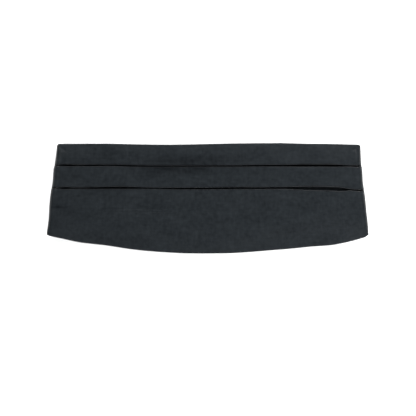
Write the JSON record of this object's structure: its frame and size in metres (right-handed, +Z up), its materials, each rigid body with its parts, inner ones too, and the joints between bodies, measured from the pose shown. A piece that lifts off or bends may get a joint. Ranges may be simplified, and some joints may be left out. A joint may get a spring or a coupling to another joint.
{
  "type": "cummerbund",
  "caption": "Pleated satin cummerbund, fastened into a loop with a strap and flat clasp behind, laid flat with its wide front up.",
  "frame": {"origin": "on the surface that the cummerbund lies on, under the middle of its outline", "axes": "+X along the sash to the viewer's right, +Y towards its upper edge, +Z up out of the front face"},
  "size_m": [0.3742, 0.1284, 0.0148],
  "materials": {
    "satin": "black satin with a fine weave and a soft sheen",
    "strap_webbing": "matt black ribbed webbing",
    "clasp_metal": "black semi-gloss enamel"
  },
  "bodies": {
    "root": {"pleated_sash": "satin", "strap_left": "strap_webbing", "strap_right": "strap_webbing", "clasp": "clasp_metal"}
  },
  "joints": []
}
